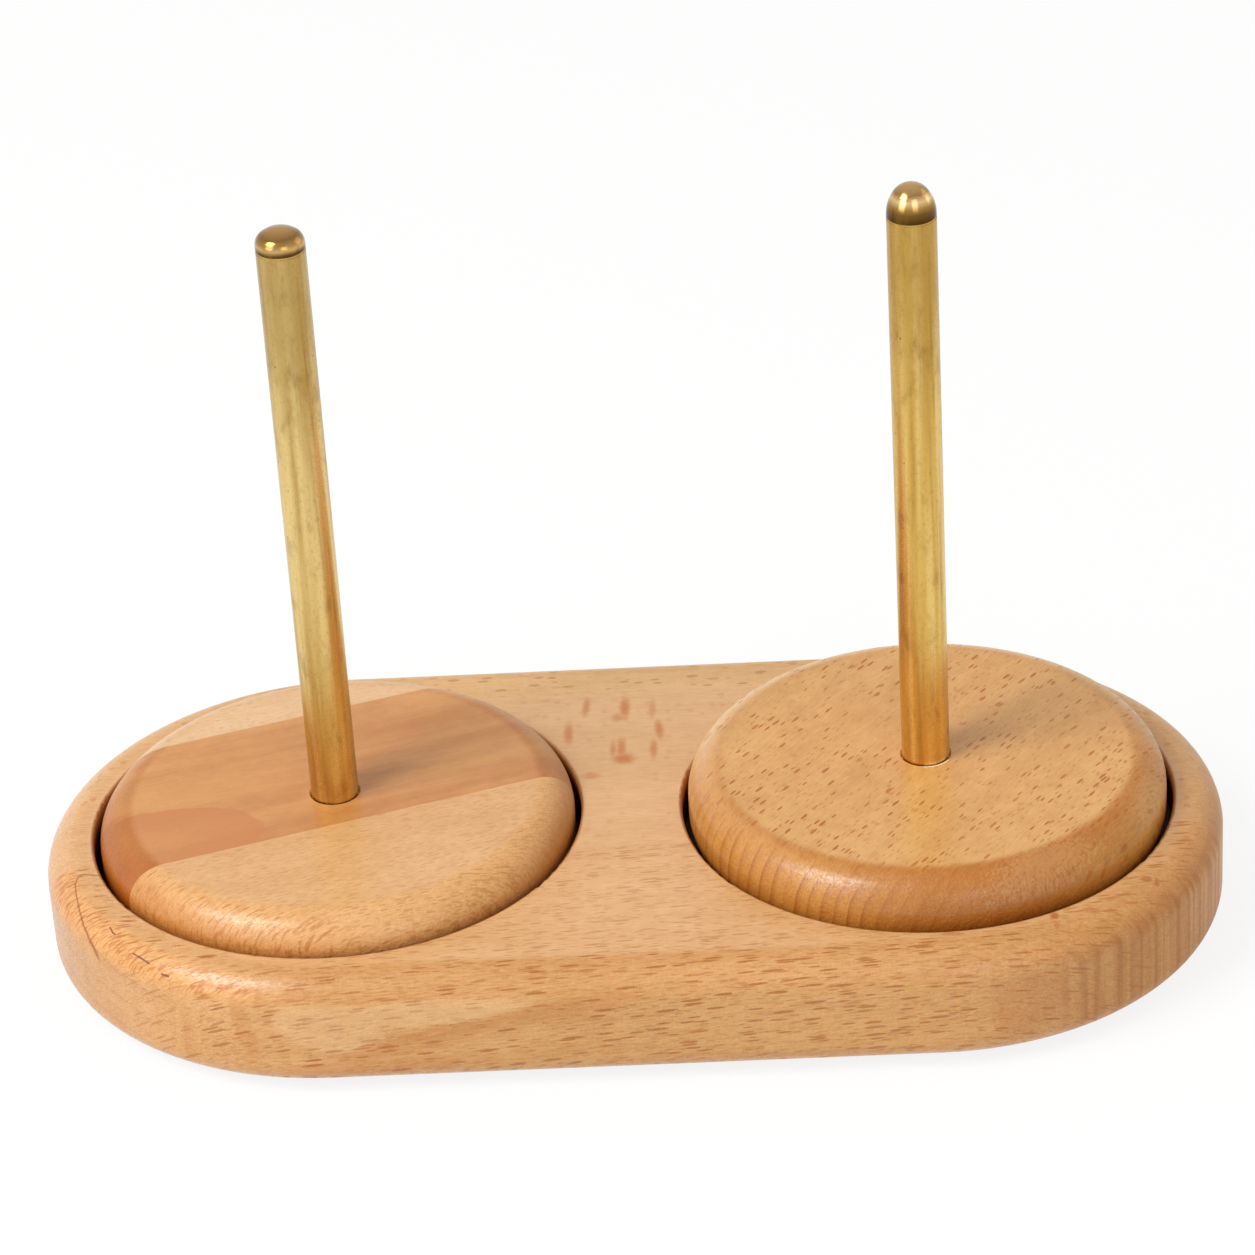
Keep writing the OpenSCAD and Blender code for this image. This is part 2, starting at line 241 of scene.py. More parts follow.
usualWood = {"mottle": 0.25, "rimPale": 0.0, "backSheen": 0.15, "gloss": 1.0}   # unless a wood says more
usualClump = 1.2                               # how strongly flecks gather in the paler clouds
grainSizes = {"bend": (90, 28), "cloud": (55, 22), "streak": (110, 7), "mottle": 4.5}   # along, across
ringTone = "#9c5a1a"

# A rounded edge begins and ends rimBand mm in from the outline. Each pair in rimTurns is the share
# of a face towards the grain's end, the right, the back or up, over which one of its looks fades in;
# besides the end grain's colour, these looks are painted light, shade and sheen.
rimBand = (8.2, 6.0)
rimTurns = {"end": (0.30, 0.85), "right": (-0.45, 0.10), "farRight": (0.25, 0.95), "front": (0.45, -0.3),
            "back": (-0.1, 0.4), "wall": (0.45, 0.05), "sheltered": (0.25, -0.45)}
shelter = {"right": 0.75, "back": 0.66}        # a rim shines less on the sides away from the window
# rims take pale into their colour; back is the painted sheen on rims that face back
rimTones = {"pale": "#f4cf9c", "back": "#f6d8a8"}
rimFibre = 0.7                                 # how much more the fibres show on a rounded edge
endFade = 0.85                                 # how far flecks fade where the grain ends
litLeftEnd = {"from": -60, "to": -105, "strength": 0.55}   # painted light: the board's lit left end keeps its top's colour, without the rims' painted shade
# painted light and shade: the board's walls are paler towards the lit left end and browner to the right
wallLightTints = {"leftEnd": "#e3d5a8",             # then each next tint, from and to where it sets in
             "next": [(-122, -98, "#f2ebda"), (-95, -35, "#ebe3c8"), (10, 105, "#ebdebc")]}

# Figures that are seen in one place only. On a top, at is the place along and across the grain,
# on a front it is the place along the grain and above the table. half is half the size.
usualFigure = {"blur": 1.6, "soft": 0.5}
figureFades = {"top": (7.5, 5.5), "front": (-6.0, -14.0)}   # mm below a top, mm across the board
figures = {
    "beech_base_middle": [
        {"face": "top", "tone": "#b96a20", "ragged": 0.6, "blur": 0.9, "soft": 0.85, "marks": [
            {"at": (-10.1, 40.4), "half": (1.3, 5.6), "turn": -4, "strength": 0.72},
            {"at": (-1.7, 39.6), "half": (1.7, 6.4), "strength": 0.88},
            {"at": (-3.2, 35.9), "half": (2.2, 2.4), "strength": 0.62},
            {"at": (4.3, 38.8), "half": (1.2, 6.0), "strength": 0.52},
            {"at": (-13.8, 29.9), "half": (1.5, 6.6), "strength": 0.76},
            {"at": (5.8, 30.1), "half": (1.4, 5.6), "turn": 5, "strength": 0.84},
            {"at": (-2.3, 23.2), "half": (1.5, 6.2), "strength": 0.80},
            {"at": (-1.8, 18.8), "half": (3.6, 3.2), "strength": 0.95},
            {"at": (-4.1, 22.7), "half": (1.1, 5.2), "strength": 0.62},
            {"at": (4.6, 22.3), "half": (1.3, 5.8), "strength": 0.76},
            {"at": (-8.6, 12.5), "half": (2.9, 2.0), "strength": 0.60}]}],
    "beech_base_front": [
        {"face": "top", "tone": "#a04c10", "ragged": 0.8, "marks": [
            {"at": (-8.7, 12.2), "half": (1.3, 1.8), "strength": 0.42},
            {"at": (-4.2, 3.7), "half": (0.6, 1.6), "strength": 0.28},
            {"at": (2.0, -0.7), "half": (0.6, 1.8), "strength": 0.40},
            {"at": (6.4, -6.2), "half": (4.2, 0.45), "turn": -20, "strength": 0.65},
            {"at": (85.8, -47.0), "half": (1.2, 1.5), "strength": 0.62},
            {"at": (86.1, -50.0), "half": (0.9, 0.9), "strength": 0.45},
            {"at": (65.1, -52.1), "half": (3.4, 0.8), "strength": 0.40},
            {"at": (105.2, -34.6), "half": (1.6, 1.2), "strength": 0.60},
            {"at": (107.2, -35.0), "half": (0.7, 1.4), "strength": 0.50},
            {"at": (93.1, -45.2), "half": (2.4, 1.2), "strength": 0.40},
            {"at": (115.0, -11.1), "half": (1.6, 0.8), "strength": 0.40}]},
        {"face": "top", "tone": "#6e2800", "half": 0.12, "strength": 0.95, "paths": [
            [(-106.3, -37.6), (-105.6, -39.2), (-104.9, -40.0)], [(-100.9, -45.6), (-97.2, -49.0)],
            [(-94.6, -51.6), (-93.0, -52.6)], [(-108.0, -43.2), (-106.6, -44.6)]]},
        {"face": "top", "tone": "#8a4600", "half": 0.15, "strength": 0.80, "paths": [
            [(-109.4, -19.5), (-113.6, -18.7), (-114.9, -19.4), (-115.3, -21.4), (-114.8, -24.6),
             (-113.6, -29.6), (-112.4, -33.6), (-110.9, -37.1), (-109.2, -40.2), (-107.4, -43.4),
             (-104.8, -46.8)]]},
        {"face": "front", "tone": "#ecc592", "ragged": 0.35, "blur": 5, "soft": 0.30, "marks": [
            {"at": (-61, 16.6), "half": (13.0, 6.6), "turn": -12, "strength": 0.24},
            {"at": (-43, 19.2), "half": (27, 3.6), "turn": 3, "strength": 0.24}]},
        {"face": "front", "tone": "#b4681f", "ragged": 0.7, "blur": 5, "marks": [
            {"at": (-44, 12.2), "half": (24, 3.0), "turn": 14, "strength": 0.30},
            {"at": (-14, 19.0), "half": (22, 2.6), "turn": 8, "strength": 0.32},
            {"at": (-52, 6.6), "half": (26, 2.6), "turn": 3, "strength": 0.22},
            {"at": (-78, 16.0), "half": (2.6, 9.0), "turn": 14, "strength": 0.28},
            {"at": (-90, 12.0), "half": (2.0, 9.0), "turn": 2, "strength": 0.20},
            {"at": (80, 14.0), "half": (11, 9.0), "turn": 4, "strength": 0.28}]},
        {"face": "front", "tone": "#a0601e", "half": 0.60, "strength": 0.24, "paths": [
            [(91.2, 4), (91.4, 12), (90.8, 21), (88.4, 23)], [(101.7, 6), (101.6, 19)],
            [(107.0, 5), (107.2, 20)], [(112.8, 6), (112.8, 20)]]}],
    "beech_disc_honey": [
        {"face": "top", "tone": "#5b3413", "ragged": 0.4, "marks": [
            {"at": (-45.8, -32.2), "half": (1.0, 0.9), "strength": 0.85}]},
        {"face": "top", "tone": "#ecc894", "ragged": 3.6, "blur": 0.7, "marks": [
            {"at": (-20.0, -42.0), "half": (15.0, 4.0), "turn": -24, "strength": 0.14},
            {"at": (12.5, -46.5), "half": (10.0, 3.6), "turn": 16, "strength": 0.11}]},
        {"face": "top", "tone": "#f6ead6", "half": 0.22, "strength": 0.85, "paths": [
            [(-4.76, -2.75), (-4.21, -3.53), (-3.54, -4.21), (-2.75, -4.76), (-1.88, -5.17),
             (-0.96, -5.42), (0.0, -5.5)]]}],
}

endCombs = {
    "beech_base_front": {"rays": 86, "spacing": 0.36, "length": 3.2, "share": (0.49, 0.64),
                         "tone": "#ac5e0c", "strength": 0.78, "glow": "#de9c50", "glowStrength": 0.34,
                         "rise": (0.15, 0.50), "fade": (60, -60), "right": 0.30},
    "beech_disc_pale": {"rays": 84, "spacing": 0.46, "length": 3.2, "share": (0.50, 0.66),
                        "tone": "#a8621e", "strength": 0.55, "glow": "#dc9c54", "glowStrength": 0.16,
                        "rise": (-0.30, 0.20), "fade": (40, 0), "right": 0.35},
}
sideBands = {"width": 1.6, "height": 90, "share": (0.40, 0.64), "tone": "#a05a16", "strength": 0.66,
             "left": 0.18, "fade": (-60, 60), "rise": (0.80, 0.20), "end": (0.30, 0.55)}
heartFigure = {"centre": (-46, -6), "half": (29, 14.5), "ripple": (14, 5), "rippleHeight": 0.10,
               "edge": (1.01, 0.97), "inside": 0.80, "core": 0.65, "onRim": 0.75,
               "tone": "#bc743a", "rimTone": "#a85e1e",
               "line": 0.16, "lineAt": 0.985, "lineHalf": 0.035, "lineTone": "#a45a22"}

# Painted shade in the pockets: the mouth browns and the walls darken below it. reach is in mm past a disc,
# start and depth below the board's top, lowest above the table
pocketShade = {"mouth": "#a8642a", "strength": 0.75, "reach": (2.3, 1.6), "wall": "#4e2408",
              "start": 0.9, "depth": 3.4, "lowest": (3.0, 5.5)}
shadeTone = {"colour": "#faead6", "above": 3.0, "below": 1.0}   # painted shade: discs redden towards the pocket's mouth
lacquer = {"roughness": 0.44, "spread": 0.14, "onFlecks": 0.10, "ior": 1.45, "shine": 0.28,
           "coat": 0.45, "coatOnRim": 1.0, "coatRoughness": 0.27, "coatIor": 1.5, "sheltered": 0.75,
           "speckle": (1.0, 0.5, 0.5), "speckleShare": (0.56, 0.44), "speckleStrength": 0.6,
           "bump": 0.6, "peel": 0.8, "peelDepth": 0.10, "peelOnRim": 0.26,
           "fleckDepth": 0.08, "fibreDepth": 0.16}


def woodGrain(shader, wood):
    point = shader.place(wood["centre"], wood["turn"])
    x, across, z = shader.split(point)
    dip = math.radians(wood["dip"])
    along, up = x * math.cos(dip) - z * math.sin(dip), z * math.cos(dip) + x * math.sin(dip)
    long, wide = grainSizes["bend"]
    bend = shader.noise(shader.vector(along / long, across / wide, up / wide), 1.0, 2.0)
    bends = shader.node("SeparateColor", {}, {0: bend.output("Color")})
    pithY, pithZ = wood["pith"]
    away = across - pithY + (bends - 0.5) * wood["wobble"]
    above = up - pithZ + (bends.output("Green") - 0.5) * wood["wobble"]
    out = shader.maths("SQRT", away * away + above * above)
    deep, side = rayPlanes(across, up, wood["rays"])
    towardsEnd, rise, right, back = shader.facing(wood["turn"])
    return {"point": point, "x": x, "z": z, "along": along, "across": across, "up": up, "out": out,
            "deep": deep, "side": side, "end": shader.ease(towardsEnd, *rimTurns["end"]),
            "towardsEnd": towardsEnd, "rise": rise, "right": right, "back": back,
            "lit": shader.ease(right * shelter["right"] + back * shelter["back"], *rimTurns["sheltered"])}


def rayPlanes(across, up, rays):               # mm along the rays, and from one ray to the next
    slope = math.radians(rays)
    deep = across * math.cos(slope) + up * math.sin(slope)
    return deep, up * math.cos(slope) - across * math.sin(slope)


def edgeInset(shader, wood, grain):            # mm from a point in to the outline it lies within
    if wood["shape"] == "disc":
        x, y, reach = grain["x"], grain["across"], discRadius
    else:
        straight = boardHalfLength - boardEndRadius
        sideways, y, _ = shader.split(shader.place())
        x = shader.maths("MAXIMUM", shader.maths("ABSOLUTE", sideways) - straight, 0.0)
        reach = boardEndRadius
    return reach - shader.maths("SQRT", x * x + y * y)


def growthRings(shader, wood, grain):          # a thin darker line where each ring ends
    phase = shader.maths("FRACT", grain["out"] / wood["ring"])
    each = shader.noise(shader.vector(grain["out"] / (wood["ring"] * 1.7), 0.0, grain["along"] / 400))
    line = (phase ** 3) * shader.ease(each, 0.25, 0.65) * shader.ease(phase, 1.0, 0.90)
    return line * (wood["ringTop"] + grain["end"] * (wood["ringEnd"] - wood["ringTop"]))


def rayFlecks(shader, fleck, along, deep, side, thicket):   # lens-shaped rays, each its own size
    length, thick, depth = fleck["size"]
    cells = shader.node("TexVoronoi", {"feature": "F1"},
                        {"Vector": shader.vector(along / length, side / thick, deep / depth),
                         "Scale": 1.0, "Randomness": 1.0})
    luck = shader.node("SeparateColor", {}, {0: cells.output("Color")})
    clump = (0.5 - thicket) * fleck.get("clump", usualClump)
    there = shader.ease(luck + clump, fleck["share"], fleck["share"] - 0.12)
    reach = fleck["reach"] * (0.60 + 0.40 * luck.output("Green"))
    spot = shader.ease(cells.output("Distance") / reach, 1.0, 0.70)
    return spot * there * (0.70 + 0.30 * luck.output("Blue"))


def woodTone(shader, wood, grain, rim):        # colour before flecks and figures, fibres, clouds
    along, side, deep = grain["along"], grain["side"], grain["deep"]
    long, wide = grainSizes["cloud"]
    cloud = shader.noise(shader.vector(along / long, grain["across"] / wide, grain["up"] / wide), 1.0, 2.0)
    long, wide = grainSizes["streak"]
    streak = shader.noise(shader.vector(along / long, side / wide, deep / wide), 1.0, 4.0, 0.6)
    length, thick = wood["fibreSize"]
    fibre = shader.noise(shader.vector(along / length, side / thick, deep / thick), 1.0, 3.0, 0.6)
    mottle = shader.noise(grain["point"], 1 / grainSizes["mottle"], 3.0, 0.6)
    tone = (0.5 + (cloud - 0.5) * (wood["cloud"] * 2) + (streak - 0.5) * (wood["streak"] * 2)
            + (fibre - 0.5) * (1 + rim * rimFibre) * (wood["fibre"] * 2)
            + (mottle - 0.5) * (wood["mottle"] * 2))
    colour = shader.mix(shader.ease(tone, -0.1, 1.1), tint(wood["dark"]), tint(wood["light"]))
    edge = rimColour(shader, wood, grain, colour)
    # painted shade: the rim colours go on the rims that face front
    colour = shader.mix(rim * shader.ease(grain["back"], *rimTurns["front"]), colour, edge)
    # painted sheen: rims that face back turn paler
    pale = rim * shader.ease(grain["back"], *rimTurns["back"]) * wood["backSheen"]
    colour = shader.mix(pale, colour, tint(rimTones["back"]))
    rings = growthRings(shader, wood, grain)
    return shader.mix(rings, colour, tint(ringTone)), fibre, cloud


def rimColour(shader, wood, grain, colour):    # the wood's colour where its edges are rounded, with painted shade and sheen by the way a rim faces
    cut = shader.mix(grain["end"], tint(wood["rimTint"]), tint(wood["endTint"]))
    edge = shader.mix(wood["rimPale"], colour, tint(rimTones["pale"]))
    edge = shader.mix(1.0, edge, cut, "MULTIPLY")
    # painted shade on rims that face right, and a painted sheen on those that face far right
    if "rimRightShade" in wood:
        far = shader.ease(grain["right"], *rimTurns["farRight"])
        rightShade = shader.mix(far, tint(wood["rimRightShade"]), tint(wood["rimFarSheen"]))
        rightShade = shader.mix(1.0, edge, rightShade, "MULTIPLY")
        edge = shader.mix(shader.ease(grain["right"], *rimTurns["right"]), edge, rightShade)
    # painted light on the board: a lit left end, and walls that pale towards the left
    if wood["shape"] == "board":
        left = shader.ease(grain["x"], litLeftEnd["from"], litLeftEnd["to"])
        edge = shader.mix(left * litLeftEnd["strength"], edge, colour)
        wall = shader.mix(1.0, colour, wallLightTint(shader, grain["x"]), "MULTIPLY")
        edge = shader.mix(shader.ease(grain["rise"], *rimTurns["wall"]), edge, wall)
    return edge


def wallLightTint(shader, x):                       # painted light and shade: paler near the left end, browner at the right
    colour = tint(wallLightTints["leftEnd"])
    for start, stop, code in wallLightTints["next"]:
        colour = shader.mix(shader.ease(x, start, stop), colour, tint(code))
    return colour


def placedMarks(shader, figure, x, y):         # ragged spots
    scale = figure["blur"]
    blur = shader.noise(shader.vector(x / scale, y / scale, 0.0), 1.0, 3.0, 0.7)
    spots = 0.0
    for mark in figure["marks"]:
        angle = math.radians(mark.get("turn", 0))
        dx, dy = x - mark["at"][0], y - mark["at"][1]
        u = (dx * math.cos(angle) + dy * math.sin(angle)) / mark["half"][0]
        v = (dy * math.cos(angle) - dx * math.sin(angle)) / mark["half"][1]
        size = shader.maths("SQRT", u * u + v * v) + (blur - 0.5) * figure["ragged"]
        inside = shader.ease(size, 1.0, 1.0 - figure["soft"])
        spots = shader.maths("MAXIMUM", spots, inside * mark["strength"])
    return spots


def placedStrokes(shader, figure, x, y):       # thin lines from point to point
    blur = shader.noise(shader.vector(x / 2.2, y / 2.2, 0.0), 1.0, 2.0)
    nearest = 9.0                              # mm, far from any line
    for path in figure["paths"]:
        for (x0, y0), (x1, y1) in zip(path, path[1:]):
            length = math.hypot(x1 - x0, y1 - y0)
            ux, uy = (x1 - x0) / length, (y1 - y0) / length
            dx, dy = x - x0, y - y0
            along = shader.maths("MINIMUM", shader.maths("MAXIMUM", dx * ux + dy * uy, 0.0), length)
            offX, offY = dx - along * ux, dy - along * uy
            off = shader.maths("SQRT", offX * offX + offY * offY)
            nearest = shader.maths("MINIMUM", nearest, off)
    half = (0.5 + blur) * figure["half"]
    return shader.ease(nearest / half, 1.5, 0.5) * figure["strength"]


def addFigure(shader, colour, figure, grain, wood, rim):
    if figure["face"] == "front":
        y = grain["z"]
        shown = rim * shader.ease(grain["across"], *figureFades["front"])
    else:
        y = grain["across"]
        below, above = figureFades["top"]
        shown = shader.ease(grain["z"], wood["top"] - below, wood["top"] - above)
    draw = placedStrokes if "paths" in figure else placedMarks
    return shader.mix(draw(shader, figure, grain["x"], y) * shown, colour, tint(figure["tone"]))


def addEndComb(shader, colour, grain, rim, comb):   # rays seen from their ends, round the rim
    deep, side = rayPlanes(grain["across"], grain["up"], comb["rays"])
    teeth = shader.noise(shader.vector(grain["along"] / comb["length"], side / comb["spacing"],
                                       deep / comb["length"]), 1.0, 1.0)
    lip = rim * shader.ease(grain["rise"], *comb["rise"]) * shader.ease(grain["rise"], 1.0, 0.93)
    lip = lip * shader.ease(grain["towardsEnd"], 0.10, 0.25)
    lip = lip * (comb["right"] + (1 - comb["right"]) * shader.ease(grain["x"], *comb["fade"]))
    colour = shader.mix(lip * comb["glowStrength"], colour, tint(comb["glow"]))
    return shader.mix(shader.ease(teeth, *comb["share"]) * lip * comb["strength"], colour,
                      tint(comb["tone"]))


def addSideBands(shader, colour, grain):       # growth rings down the board's end walls
    width, height = sideBands["width"], sideBands["height"]
    bands = shader.noise(shader.vector(grain["across"] / width, 0.0, grain["up"] / height), 1.0, 2.0)
    wall = shader.ease(grain["rise"], *sideBands["rise"])
    wall = wall * shader.ease(grain["towardsEnd"], *sideBands["end"])
    right = shader.ease(grain["x"], *sideBands["fade"])
    wall = wall * (sideBands["left"] + (1 - sideBands["left"]) * right)
    bands = shader.ease(bands, *sideBands["share"])
    return shader.mix(bands * wall * sideBands["strength"], colour, tint(sideBands["tone"]))


def addHeartFigure(shader, colour, grain, rim):   # the rounded end of a ring, left of the rod
    centre, half = heartFigure["centre"], heartFigure["half"]
    long, wide = heartFigure["ripple"]
    ripple = shader.noise(shader.vector(grain["x"] / long, grain["across"] / wide, 3.0), 1.0, 3.0)
    u = (grain["x"] - centre[0]) / half[0]
    v = (grain["across"] - centre[1]) / half[1]
    size = shader.maths("SQRT", u * u + v * v) + (ripple - 0.5) * heartFigure["rippleHeight"]
    inside = heartFigure["core"] + (1 - heartFigure["core"]) * shader.ease(size, 0.2, 1.0)
    inside = shader.ease(size, *heartFigure["edge"]) * inside * heartFigure["inside"]
    tone = shader.mix(rim, tint(heartFigure["tone"]), tint(heartFigure["rimTone"]))
    colour = shader.mix(inside * (1 - (1 - heartFigure["onRim"]) * rim), colour, tone)
    off = shader.maths("ABSOLUTE", size - heartFigure["lineAt"])
    line = shader.ease(off, heartFigure["lineHalf"], 0.0) * shader.ease(v, 0.0, 0.6)
    return shader.mix(line * heartFigure["line"], colour, tint(heartFigure["lineTone"]))


def addPocketShade(shader, colour, up):            # painted shade: the pockets' mouths brown and their walls darken quickly below
    x, y, _ = shader.split(shader.place())
    away = [shader.maths("SQRT", (x - axis) * (x - axis) + y * y) for axis in (leftAxis, rightAxis)]
    nearest = shader.maths("MINIMUM", *away)
    far, near = pocketShade["reach"]
    within = shader.ease(nearest, discRadius + far, discRadius + near)
    within = within * shader.ease(up, *pocketShade["lowest"])   # the underside stays plain
    colour = shader.mix(within * pocketShade["strength"], colour, tint(pocketShade["mouth"]))
    deep = shader.ease(up, baseTop - pocketShade["start"], baseTop - pocketShade["depth"])
    return shader.mix(within * deep, colour, tint(pocketShade["wall"])), 1 - within


def addShade(shader, colour, up):
    low = shader.ease(up, baseTop + shadeTone["above"], baseTop - shadeTone["below"])
    shaded = shader.mix(1.0, colour, tint(shadeTone["colour"]), "MULTIPLY")
    return shader.mix(low, colour, shaded), 1 - low


def lacquered(shader, colour, flecks, fibre, grain, rim, outside, gloss):   # outside the pockets
    peel = shader.noise(grain["point"], 1 / lacquer["peel"], 2.0)
    height = (peel * (lacquer["peelDepth"] + rim * (lacquer["peelOnRim"] - lacquer["peelDepth"]))
              - flecks * lacquer["fleckDepth"] + fibre * lacquer["fibreDepth"])
    bump = shader.node("Bump", {}, {"Strength": lacquer["bump"], "Distance": mm, "Height": height})
    rough = lacquer["roughness"] + (fibre - 0.5) * lacquer["spread"] + flecks * lacquer["onFlecks"]
    x, y, z = lacquer["speckle"]
    speckle = shader.vector(grain["along"] / x, grain["side"] / y, grain["deep"] / z)
    speckle = shader.ease(shader.noise(speckle, 1.0, 2.0), *lacquer["speckleShare"])
    coat = lacquer["coat"] + rim * grain["lit"] * (gloss - lacquer["coat"])
    coat = coat * (1 - rim * lacquer["sheltered"] * (1 - grain["lit"])) * outside
    coat = coat * (1 - rim * lacquer["speckleStrength"] * speckle)
    return shader.finish({"Base Color": colour, "Roughness": rough, "IOR": lacquer["ior"],
                          "Specular IOR Level": lacquer["shine"], "Coat Weight": coat,
                          "Coat Roughness": lacquer["coatRoughness"], "Coat IOR": lacquer["coatIor"]}, bump)


def makeWood(name, wood):
    shader = newShader(name)
    grain = woodGrain(shader, wood)
    rim = shader.ease(edgeInset(shader, wood, grain), *rimBand)
    colour, fibre, cloud = woodTone(shader, wood, grain, rim)
    onEnds = 1 - endFade * grain["end"]
    allFlecks = 0.0
    for fleck in wood["flecks"]:
        strength = (fleck["onTop"] + rim * (fleck["onRim"] - fleck["onTop"])) * onEnds
        spots = rayFlecks(shader, fleck, grain["along"], grain["deep"], grain["side"], cloud) * strength
        colour = shader.mix(spots, colour, tint(fleck["tone"]))
        allFlecks = shader.maths("MAXIMUM", allFlecks, spots)
    if name == "beech_disc_heartwood":
        colour = addHeartFigure(shader, colour, grain, rim)
    if name in endCombs:
        colour = addEndComb(shader, colour, grain, rim, endCombs[name])
    if name == "beech_base_front":
        colour = addSideBands(shader, colour, grain)
    for figure in figures.get(name, []):
        colour = addFigure(shader, colour, {**usualFigure, **figure}, grain, wood, rim)
    # painted shade where the discs sink into the board
    addDepth = addPocketShade if wood["shape"] == "board" else addShade
    colour, outside = addDepth(shader, colour, grain["z"])
    gloss = lacquer["coatOnRim"] * wood["gloss"]
    return lacquered(shader, colour, allFlecks, fibre, grain, rim, outside, gloss)


for slot, wood in woods.items():
    dress(wood["node"], makeWood(slot, {**usualWood, **wood}))
print("wood done")


# Metal and rubber

# Each rod's tones from foot to top, a painted reflection that darkens near the top. wallEnd is where its
# tip begins, in mm below the top, and tip the tones from there up, painted reflections: a dark lower rim, a
# bright band and a darker arc above it.
rods = {
    "left": {"foot": "#d0b064", "middle": "#dfc07c", "top": "#bd9f61", "wallEnd": 4.45,
             "tip": [(0.0, "#4a3014"), (0.12, "#6c4e24"), (0.32, "#cfaa6c"), (0.50, "#a5824a"),
                     (0.72, "#846236"), (0.88, "#a07c4c"), (1.0, "#b08c5c")]},
    "right": {"foot": "#e2ba66", "middle": "#d9b25d", "top": "#c0994e", "wallEnd": 6.85,
              "tip": [(0.0, "#4a3014"), (0.10, "#5c401c"), (0.28, "#745528"), (0.44, "#a07c42"),
                      (0.62, "#e0bc84"), (0.78, "#987444"), (1.0, "#bc9866")]},
}
# The light and dark streaks up the rods are drawn streaks and also painted reflection stripes; the light
# ones fade near the top.
brass = {"roughness": 0.30, "spread": 0.20, "tipRoughness": 0.18, "bump": 0.5, "drawnDepth": 0.012,
         "fineDepth": 0.010, "wearAndSheen": "#f4da94", "wearAndSheenStrength": 0.42, "wearAndSheenAtTop": 0.10,
         "dullAndShade": "#ad8236", "dullAndShadeStrength": 0.42, "tarnish": "#8c6a2e", "patchStrength": 0.45,
         "fineStrength": 0.35, "tipStrength": 0.4, "speck": "#7c5418", "drawnStrength": 0.45,
         "dotStrength": 0.8}
brassSizes = {"drawn": (1.1, 30), "streak": (2.4, 90), "patch": (3, 7), "fine": (1 / 1.5, 1 / 1.1),
              "dot": (1.5, 1.9)}               # mm across and up the rod


def makeBrass(name, rod, axis, footZ, topZ):
    shader = newShader(name)
    x, y, z = shader.split(shader.place((axis, 0, 0)))
    at = {kind: shader.vector(x / wide, y / wide, z / high) for kind, (wide, high) in brassSizes.items()}
    drawn = shader.noise(at["drawn"], 1.0, 4.0, 0.6)
    streak = shader.noise(at["streak"], 1.0, 1.0)
    patches = shader.noise(at["patch"], 1.0, 4.0, 0.6, 0.3)
    fine = shader.noise(at["fine"], 1.0, 3.0, 0.65)
    height = (z - footZ) / (topZ - footZ) + (patches - 0.5) * 0.25
    nearTop = shader.ease(height, 0.55, 0.85)
    # painted reflection: the tone changes from foot to top
    colour = shader.mix(shader.ease(height, 0.05, 0.5), tint(rod["foot"]), tint(rod["middle"]))
    colour = shader.mix(nearTop, colour, tint(rod["top"]))
    wearAndSheen = brass["wearAndSheenStrength"] - (brass["wearAndSheenStrength"] - brass["wearAndSheenAtTop"]) * nearTop
    dots = brassDots(shader, at["dot"]) * shader.ease(height, 0.35, 0.6)
    # light and dark streaks, partly painted reflection stripes
    layers = [(shader.ease(streak, 0.50, 0.66) * wearAndSheen, "wearAndSheen"),
              (shader.ease(streak, 0.50, 0.34) * brass["dullAndShadeStrength"], "dullAndShade"),
              (shader.ease(patches, 0.50, 0.80) * brass["patchStrength"], "tarnish"),
              (shader.ease(drawn, 0.45, 0.85) * brass["drawnStrength"], "speck"),
              (shader.ease(fine, 0.50, 0.80) * brass["fineStrength"], "tarnish"),
              (dots * brass["dotStrength"], "speck")]
    for share, tone in layers:
        colour = shader.mix(share, colour, tint(brass[tone]))
    wallEnd = topZ - rod["wallEnd"]
    onTip = shader.ease(z, wallEnd - 0.10, wallEnd + 0.10)
    rise = (z - wallEnd) / rod["wallEnd"]
    # painted reflections on the tip, by height up the dome
    stops = [(place, tint(code)) for place, code in rod["tip"]]
    dome = shader.node("ValToRGB", {"stops": stops}, {0: rise + (patches - 0.5) * 0.16})
    dome = shader.mix(shader.ease(patches, 0.45, 0.75) * brass["tipStrength"], dome, tint(brass["tarnish"]))
    colour = shader.mix(onTip, colour, dome)
    satin = brass["roughness"] + (drawn - 0.5) * brass["spread"] + (fine - 0.5) * brass["spread"]
    rough = satin * (1 - onTip) + onTip * brass["tipRoughness"]
    relief = drawn * brass["drawnDepth"] + fine * brass["fineDepth"] * (1 - onTip)
    bump = shader.node("Bump", {}, {"Strength": brass["bump"], "Distance": mm, "Height": relief})
    return shader.finish({"Base Color": colour, "Metallic": 1.0, "Roughness": rough}, bump)


def brassDots(shader, point):                  # small dark spots in a few of the cells
    cells = shader.node("TexVoronoi", {"feature": "F1"}, {"Vector": point, "Scale": 1.0})
    luck = shader.node("SeparateColor", {}, {0: cells.output("Color")})
    return shader.ease(luck, 0.16, 0.10) * shader.ease(cells.output("Distance"), 0.17, 0.08)


steels = {
    "bearing_steel": {"colour": "#b9bcc0", "roughness": 0.25},
    "polished_steel": {"colour": "#cfd1d4", "roughness": 0.08},
    "cage_steel": {"colour": "#a39f93", "roughness": 0.35},
    "sheet_steel": {"colour": "#a9adb2", "roughness": 0.32},
    "zinc_steel": {"colour": "#b4b8bf", "roughness": 0.30},
}


